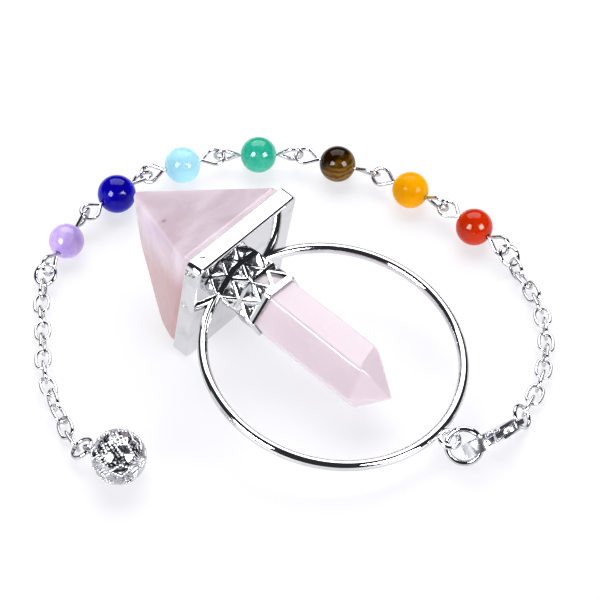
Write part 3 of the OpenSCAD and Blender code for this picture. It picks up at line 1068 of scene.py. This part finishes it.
@dataclass
class CrystalPoint:
    """Six-sided pale crystal that ends in a six-sided point."""

    lie: LyingPendant
    foot: float = 0.1
    foot_radius: float = 4.665
    collar_rim: float = 7.5
    rim_radius: float = 5.015
    rim_round: float = 0.2
    shoulder: float = 25.3
    shoulder_round: float = 0.7
    radius: float = 5.15
    slant: float = 1.1
    slant_turn: float = 20
    turn: float = -4
    edge: float = 0.6
    length: float = 30.4
    tip_radius: float = 0.7
    tip_lean: float = 42
    tip_edge: float = 0.8

    def build(self, stone: Material) -> None:
        """Builds and dresses the crystal.

        Args:
            stone: Its finish.
        """
        lean = math.radians(self.tip_lean)
        tip = RoundTip(self.length - self.tip_radius, self.tip_radius, lean, steps=5)
        narrow = self.tip_radius * math.cos(lean)
        outlines = [rounded_polygon(6, radius, edge, self.turn, steps=5)
                    for radius, edge in ((self.foot_radius, self.edge), (self.rim_radius, self.edge),
                                         (self.radius, self.edge), (narrow + 1e-4, narrow * self.tip_edge))]
        lines = []
        for i, flats in enumerate(zip(*outlines)):
            corner = math.radians(self.turn + 60 * (i // 6) - self.slant_turn)
            shoulder = self.shoulder - self.slant * math.cos(corner)
            reaches = (self.foot, self.collar_rim, shoulder, tip.reach(lean))
            points = [np.array([reach, *flat]) for reach, flat in zip(reaches, flats)]
            lines.append(rounded_path(points, [self.rim_round, self.shoulder_round]))
        piece = tip.close(lines, "crystal_cut", self.lie.matrix(), stone)
        settle(piece, Slot.PALE_ROSE_QUARTZ, "crystal_point")


# Clasp, rings and beads


@dataclass
class JumpRing:
    """Round wire ring with the fine cut where it was closed."""

    node: str
    radius: float
    wire: float
    cut_turn: float = 200
    cut: float = 0.05

    def build(self, silver: Material) -> None:
        """Builds and dresses the ring where its solid is.

        Args:
            silver: The plating.
        """
        half_cut = self.cut / 2 / self.radius
        start = math.radians(self.cut_turn)
        turns = np.linspace(start + half_cut, start + 2 * math.pi - half_cut, 73)
        work = MeshWork()
        work.tube(circle(self.radius, turns), self.wire / 2, sides=24)
        piece = work.make(self.node + "_wire", Measured.of(self.node).matrix(), silver)
        settle(piece, Slot.SILVER, self.node)


@dataclass
class SoftenedCasting:
    """A cast piece whose sharp edges are rounded by polishing."""

    node: str
    body: str = ROOT_BODY
    edge_round: float = 0.14
    weld: float = 0.002
    flat_angle: float = 1
    edge_angle: float = 28
    sharp_angle: float = 40

    def build(self, silver: Material) -> None:
        """Builds the rounded piece from its solid's faces and dresses it.

        Args:
            silver: The plating.
        """
        work = bmesh.new()
        work.from_mesh(bpy.data.objects[self.node].data)
        bmesh.ops.remove_doubles(work, verts=work.verts, dist=self.weld * MM)
        bmesh.ops.dissolve_limit(work, angle_limit=math.radians(self.flat_angle), verts=work.verts,
                                 edges=work.edges)
        edges = [e for e in work.edges if len(e.link_faces) == 2
                 and e.calc_face_angle(0) > math.radians(self.edge_angle)]
        bmesh.ops.bevel(work, geom=edges, offset=self.edge_round * MM, segments=3, profile=0.5,
                        affect="EDGES", clamp_overlap=True, offset_type="OFFSET")
        bmesh.ops.triangulate(work, faces=[f for f in work.faces if len(f.verts) > 4])
        mesh = bpy.data.meshes.new(self.node + "_casting")
        settle(smooth_piece(mesh, work, silver, self.sharp_angle), Slot.SILVER, self.node, body=self.body)


@dataclass
class DrilledBead:
    """Round stone bead on its eye pin."""

    stone: str
    slot: Slot
    size: float = 6
    bore: float = 0.78
    chamfer: float = 0.12

    def build(self, finish: Material) -> None:
        """Builds and dresses the bead where its solid is.

        Args:
            finish: Its stone's finish.
        """
        middle = np.add(*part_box(self.stone + "_bead")) / 2 / MM
        place = replace(Measured.of(self.stone + "_eye_pin"), middle=middle).matrix()
        radius, hole = self.size / 2, self.bore / 2
        first = math.asin((hole + self.chamfer) / radius)
        end = radius * math.cos(first) - self.chamfer
        arc = circle(radius, np.linspace(first, math.pi - first, 49))[:, :2]
        spin = circle(1, full_turn(72))[:, :2]
        work = MeshWork()
        rows = [work.loop(across(reach, away * spin)) for reach, away in [(end, hole), *arc, (-end, hole)]]
        work.skin([*rows, rows[0]], ends=False)
        settle(work.make(self.stone + "_stone", place, finish), self.slot, self.stone + "_bead")


# Finger ball


@dataclass
class FingerBall:
    """Pierced hollow ball with granules and fine ribs on its shell.

    The ball's own +X runs away from its eye.
    """

    size: float = 8.1
    middle: Place = (0.735, -35.783, 4.05)
    azimuth: float = 13.74
    rise: float = 12.9
    roll: float = 105
    petals: int = 6
    petal_tilt: float = 38
    petal_size: tuple[float, float] = (0.75, 0.4)
    window_size: tuple[float, float] = (0.3, 0.26)
    opening_share: float = 0.62
    granule: float = 0.24
    side_granule: float = 0.204
    granule_gap: float = 0.132
    granule_pitch: float = 0.504
    granule_sunk: float = 0.084
    net_count: int = 640
    net_granule: float = 0.19
    net_sunk: float = 0.076
    net_reach: tuple[float, float] = (-0.5, 0.86)
    rib: float = 0.1
    rib_count: int = 24
    rib_reaches: tuple[tuple[float, float], ...] = ((12, 30), (150, 162))
    rosette_count: int = 8
    rosette_lift: float = 0.13
    rosette_granule: float = 0.216

    def matrix(self) -> Matrix:
        """The ball's own frame in metres.

        Returns:
            The frame.
        """
        place = Matrix.Translation(Vector(self.middle) * MM)
        for angle, axis in [(self.azimuth, "Z"), (-self.rise, "Y"), (self.roll, "X")]:
            place = place @ Matrix.Rotation(math.radians(angle), 4, axis)
        return place

    def openings(self) -> list[tuple[Matrix, float, float]]:
        """The shell's openings: six petals towards each pole, and a row of small windows between.

        Returns:
            For each one the turn from the ball's +Z to it, its length and its width.
        """
        places = [(360 * (k + end / 2) / self.petals, self.petal_tilt * (2 * end - 1), self.petal_size)
                  for end in (0, 1) for k in range(self.petals)]
        places += [(180 * (k + 0.25) / self.petals, 0, self.window_size) for k in range(2 * self.petals)]
        return [(Matrix.Rotation(math.radians(turn), 3, "X") @ Matrix.Rotation(math.radians(tilt), 3, "Y"),
                 self.size / 2 * length, self.size / 2 * width) for turn, tilt, (length, width) in places]

    def is_open(self, at: Vector, openings: list[tuple[Matrix, float, float]]) -> bool:
        """Tells whether a direction from the ball's middle meets an opening.

        Args:
            at: The direction, of length one.
            openings: The shell's openings.

        Returns:
            True if the shell is open there.
        """
        for spin, length, width in openings:
            local = spin.transposed() @ at * (self.size / 2)
            if local.z > 0 and abs(local.x) / length + abs(local.y) / width < self.opening_share:
                return True
        return False

    def build_granules(self, silver: Material) -> Object:
        """Builds the granules that edge each opening, and the net of small ones between them.

        Args:
            silver: The plating.

        Returns:
            The granules.
        """
        work = MeshWork()
        radius, gap = self.size / 2, self.granule_gap
        openings = self.openings()
        for spin, length, width in openings:
            long, wide = length / 2 + 1.3 * gap, width / 2 + gap
            count = max(2, round(math.hypot(long, wide) / self.granule_pitch))
            for k, (x, y) in enumerate(round_trip([(long, 0), (0, wide), (-long, 0), (0, -wide)], count)):
                at = spin @ Vector((x, y, radius)).normalized()
                work.ball(np.array(at) * (radius - self.granule_sunk),
                          self.side_granule if k % count else self.granule)
        golden = math.pi * (3 - math.sqrt(5))
        low, high = self.net_reach
        for k in range(self.net_count):
            along = 1 - 2 * (k + 0.5) / self.net_count
            at = direction(math.acos(along), k * golden)
            if low < along < high and not self.is_open(Vector(at), openings):
                work.ball(at * (radius - self.net_sunk), self.net_granule, rings=4, sides=8)
        return work.make("ball_granules", self.matrix(), silver)

    def build_ribs(self, silver: Material) -> Object:
        """Builds the fine ribs that run to the ball's two poles, and a rosette on the far pole.

        Args:
            silver: The plating.

        Returns:
            The ribs.
        """
        work = MeshWork()
        radius = self.size / 2
        for turn in full_turn(self.rib_count):
            for low, high in self.rib_reaches:
                path = radius * direction(np.radians(np.linspace(low, high, 7)), turn)
                work.tube(path, self.rib, sides=8)
        for turn in full_turn(self.rosette_count):
            work.ball(radius * direction(self.rosette_lift, turn), self.rosette_granule)
        work.ball((radius, 0, 0), self.granule)
        return work.make("ball_ribs", self.matrix(), silver)

    def build(self, shell: Material, silver: Material) -> None:
        """Dresses the shell, and adds the granules and ribs.

        Args:
            shell: The shell's finish.
            silver: The granules' and ribs' finish.
        """
        dress_solid("finger_ball", shell)
        settle(self.build_granules(silver), Slot.BALL_SILVER)
        settle(self.build_ribs(silver), Slot.BALL_SILVER)


# Studio


def towards(azimuth: float, elevation: float) -> Vector:
    """The direction from the pendant to a lamp or the camera, from its two angles."""
    a, e = math.radians(azimuth), math.radians(elevation)
    return Vector((math.sin(a) * math.cos(e), -math.cos(a) * math.cos(e), math.sin(e)))


class LampUse(Enum):
    """What a lamp does: lights and shows in polished pieces, only shows in them, or only lights."""

    FULL = "full"
    SHINE = "shine"
    FILL = "fill"


@dataclass
class SoftBox:
    """A soft lamp that faces the pendant, with its power in watts."""

    name: str
    azimuth: float
    elevation: float
    distance: float
    width: float
    height: float
    power: float
    use: LampUse = LampUse.FULL

    def build(self) -> None:
        """Builds the lamp."""
        light = bpy.data.lights.new(self.name, "AREA")
        light.shape = "RECTANGLE"
        light.size, light.size_y = self.width * MM, self.height * MM
        light.energy = self.power
        lamp = in_scene(light)
        back = towards(self.azimuth, self.elevation)
        lamp.location = back * self.distance * MM
        lamp.rotation_euler = back.to_track_quat("Z", "Y").to_euler()
        lamp.visible_diffuse = self.use is not LampUse.SHINE
        lamp.visible_glossy = self.use is not LampUse.FILL


@dataclass
class Studio:
    """White table, soft lamps, a dim room round them, and the camera."""

    camera_azimuth: float = 40.82
    camera_elevation: float = 46.92
    camera_distance: float = 350.56
    aim: tuple[float, float] = (3.74, 5.61)
    lens: float = 134.6
    sensor: float = 36
    table_size: float = 4000
    table_colour: Colour = colour(0.25, 0.25, 0.26)
    table_glow: Colour = colour(0.975, 0.975, 1)
    table_glow_strength: float = 0.7
    room_colour: Colour = colour(0.9, 0.93, 1)
    room_strength: float = 0.04
    boxes: list[SoftBox] = field(default_factory=lambda: [
        SoftBox("top_box", -139, 52, 700, 820, 560, 6),
        SoftBox("left_box", -4, 37, 800, 360, 420, 12, LampUse.SHINE),
        SoftBox("right_box", 95.5, 32, 800, 360, 420, 12, LampUse.SHINE),
        SoftBox("low_card", -28, 12, 800, 580, 300, 0.5, LampUse.SHINE),
        SoftBox("left_fill", -14, 16, 800, 700, 500, 4.9, LampUse.FILL),
        SoftBox("right_fill", 92, 16, 800, 700, 500, 5, LampUse.FILL),
    ])

    def build_camera(self) -> None:
        """Builds the camera at the photograph's angle."""
        lens = bpy.data.cameras.new("camera")
        lens.lens, lens.sensor_width = self.lens, self.sensor
        lens.clip_start, lens.clip_end = 0.01, 20
        turn = math.radians(self.camera_azimuth)
        right = Vector((math.cos(turn), math.sin(turn), 0))
        back = towards(self.camera_azimuth, self.camera_elevation)
        up = back.cross(right)
        at = (back * self.camera_distance + right * self.aim[0] + up * self.aim[1]) * MM
        camera = in_scene(lens)
        camera.matrix_world = Matrix.Translation(at) @ Matrix((right, up, back)).transposed().to_4x4()
        bpy.context.scene.camera = camera

    def build_table(self) -> None:
        """Builds the white table, which glows a little."""
        work = MeshWork()
        half = self.table_size / 2
        corners = [(-half, -half, 0), (half, -half, 0), (half, half, 0), (-half, half, 0)]
        work.faces.append(tuple(work.loop(corners)))
        white, principled = new_finish("table_white")
        put(principled, {"Base Color": self.table_colour, "Roughness": 0.6,
                         "Emission Color": self.table_glow, "Emission Strength": self.table_glow_strength})
        table = work.make("table_top", Matrix.Identity(4), white)

    def build_room(self) -> None:
        """Builds the dim room round the lamps."""
        world = bpy.data.worlds.new("room")
        bpy.context.scene.world = world
        world.use_nodes = True
        put(world.node_tree.nodes["Background"], {"Color": self.room_colour, "Strength": self.room_strength})

    def build(self) -> None:
        """Builds the studio."""
        self.build_camera()
        self.build_table()
        self.build_room()
        for box in self.boxes:
            box.build()
        bpy.context.scene.view_settings.view_transform = "Standard"


FRAME_PLATING = SilverFinish("frame_plating")
FOIL_PLATING = SilverFinish("foil_plating", polish=0.12, haze=0.1)
GRANULE_PLATING = SilverFinish("granule_plating", polish=0.06)
# The ball's pits are painted dark at their bottom as shade.
BALL_PLATING = PittedSilver("ball_plating")
WIRE_PLATING = SilverFinish("wire_plating", colour(0.56, 0.56, 0.58), colour(0.42, 0.42, 0.44), polish=0.05)
CLASP_PLATING = SilverFinish("clasp_plating", colour(0.7, 0.7, 0.75), colour(0.5, 0.5, 0.53), polish=0.19,
                             waviness=0.00005)
# Deeper towards the table: partly the rose quartz's own pink, partly painted shade on the pyramid's lower
# side.
ROSE = StoneFinish("rose_quartz_polished", colour(0.75, 0.655, 0.735), colour(0.59, 0.46, 0.53),
                   colour(0.85, 0.74, 0.78), clouds=110, veins=0.07, specks=0.01, glow=0.35,
                   glow_reach=0.003, gloss=0.13, shine=0.45, blush_and_shade=colour(0.47, 0.285, 0.295),
                   blush_and_shade_run=(44.9, 0, -109.9), blush_and_shade_start=2.93, spot=(-0.01733, -0.00593, 0.01852))
PALE_ROSE = StoneFinish("pale_quartz_polished", colour(0.72, 0.62, 0.68), colour(0.70, 0.59, 0.66),
                        colour(0.92, 0.84, 0.87), clouds=80, veins=0.06, specks=0.01, glow=0.35,
                        glow_reach=0.003, gloss=0.1, shine=0.45)
RED = StoneFinish("carnelian", colour(0.66, 0.028, 0.0), colour(0.56, 0.02, 0.0), colour(0.8, 0.08, 0.01),
                  shine=0.2)
ORANGE = StoneFinish("orange_stone_polished", colour(1.0, 0.42, 0.0), colour(1.0, 0.38, 0.0),
                     colour(1, 0.5, 0.02), shine=0.06)
BROWN = BandedFinish("banded_brown", colour(0.24, 0.115, 0.008), colour(0.014, 0.004, 0.0),
                     colour(0.5, 0.3, 0.1), glow=0, shine=0.14)
GREEN = StoneFinish("green_stone_polished", colour(0.022, 0.45, 0.31), colour(0.015, 0.42, 0.27),
                    colour(0.25, 0.65, 0.5), specks=0.3)
SKY_BLUE = StoneFinish("sky_blue_polished", colour(0.42, 0.79, 0.97), colour(0.37, 0.75, 0.95),
                       colour(0.5, 0.9, 1), shine=0.2)
ROYAL_BLUE = StoneFinish("royal_blue_polished", colour(0.004, 0.0, 0.52), colour(0.003, 0.0, 0.32),
                         colour(0.02, 0.01, 0.5), shine=0.16)
VIOLET = StoneFinish("violet_polished", colour(0.68, 0.53, 0.98), colour(0.50, 0.35, 0.88),
                     colour(0.75, 0.65, 0.95), clouds=420, veins=0.3, glow=0.4, shine=0.35)
BEADS: list[tuple[DrilledBead, StoneFinish]] = [
    (DrilledBead("red", Slot.RED_STONE), RED),
    (DrilledBead("orange", Slot.ORANGE_STONE), ORANGE),
    (DrilledBead("brown", Slot.BROWN_STONE), BROWN),
    (DrilledBead("green", Slot.GREEN_STONE), GREEN),
    (DrilledBead("sky_blue", Slot.SKY_BLUE_STONE), SKY_BLUE),
    (DrilledBead("royal_blue", Slot.ROYAL_BLUE_STONE, 6.3), ROYAL_BLUE),
    (DrilledBead("violet", Slot.VIOLET_STONE, 5.7), VIOLET),
]


def main() -> None:
    """Builds the looks in order."""
    logging.basicConfig(level=logging.INFO, format="%(name)s: %(message)s")
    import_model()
    effects = Effects()
    silver = WIRE_PLATING.material(effects)
    clasp_silver = CLASP_PLATING.material(effects)
    lie = LyingPendant()
    SilverFrame(lie).build(FRAME_PLATING.material(effects), FOIL_PLATING.material(effects))
    PyramidStone(lie).build(ROSE.material(effects))
    CrystalPoint(lie).build(PALE_ROSE.material(effects))
    JumpRing("hook_ring", 2.6, 0.9).build(silver)
    for node in ("clasp_ring", "bead_ring", "tail_ring", "ball_ring"):
        JumpRing(node, 1.72, 0.6).build(silver)
    SoftenedCasting("clasp_body").build(clasp_silver)
    SoftenedCasting("clasp_lever", LEVER_BODY).build(clasp_silver)
    for node in ("clasp_chain", "ball_chain"):
        dress_solid(node, silver)
    for bead, finish in BEADS:
        bead.build(finish.material(effects))
        dress_solid(bead.stone + "_eye_pin", silver)
    FingerBall().build(BALL_PLATING.material(effects), GRANULE_PLATING.material(effects))
    Studio().build()


if __name__ == "__main__":
    main()
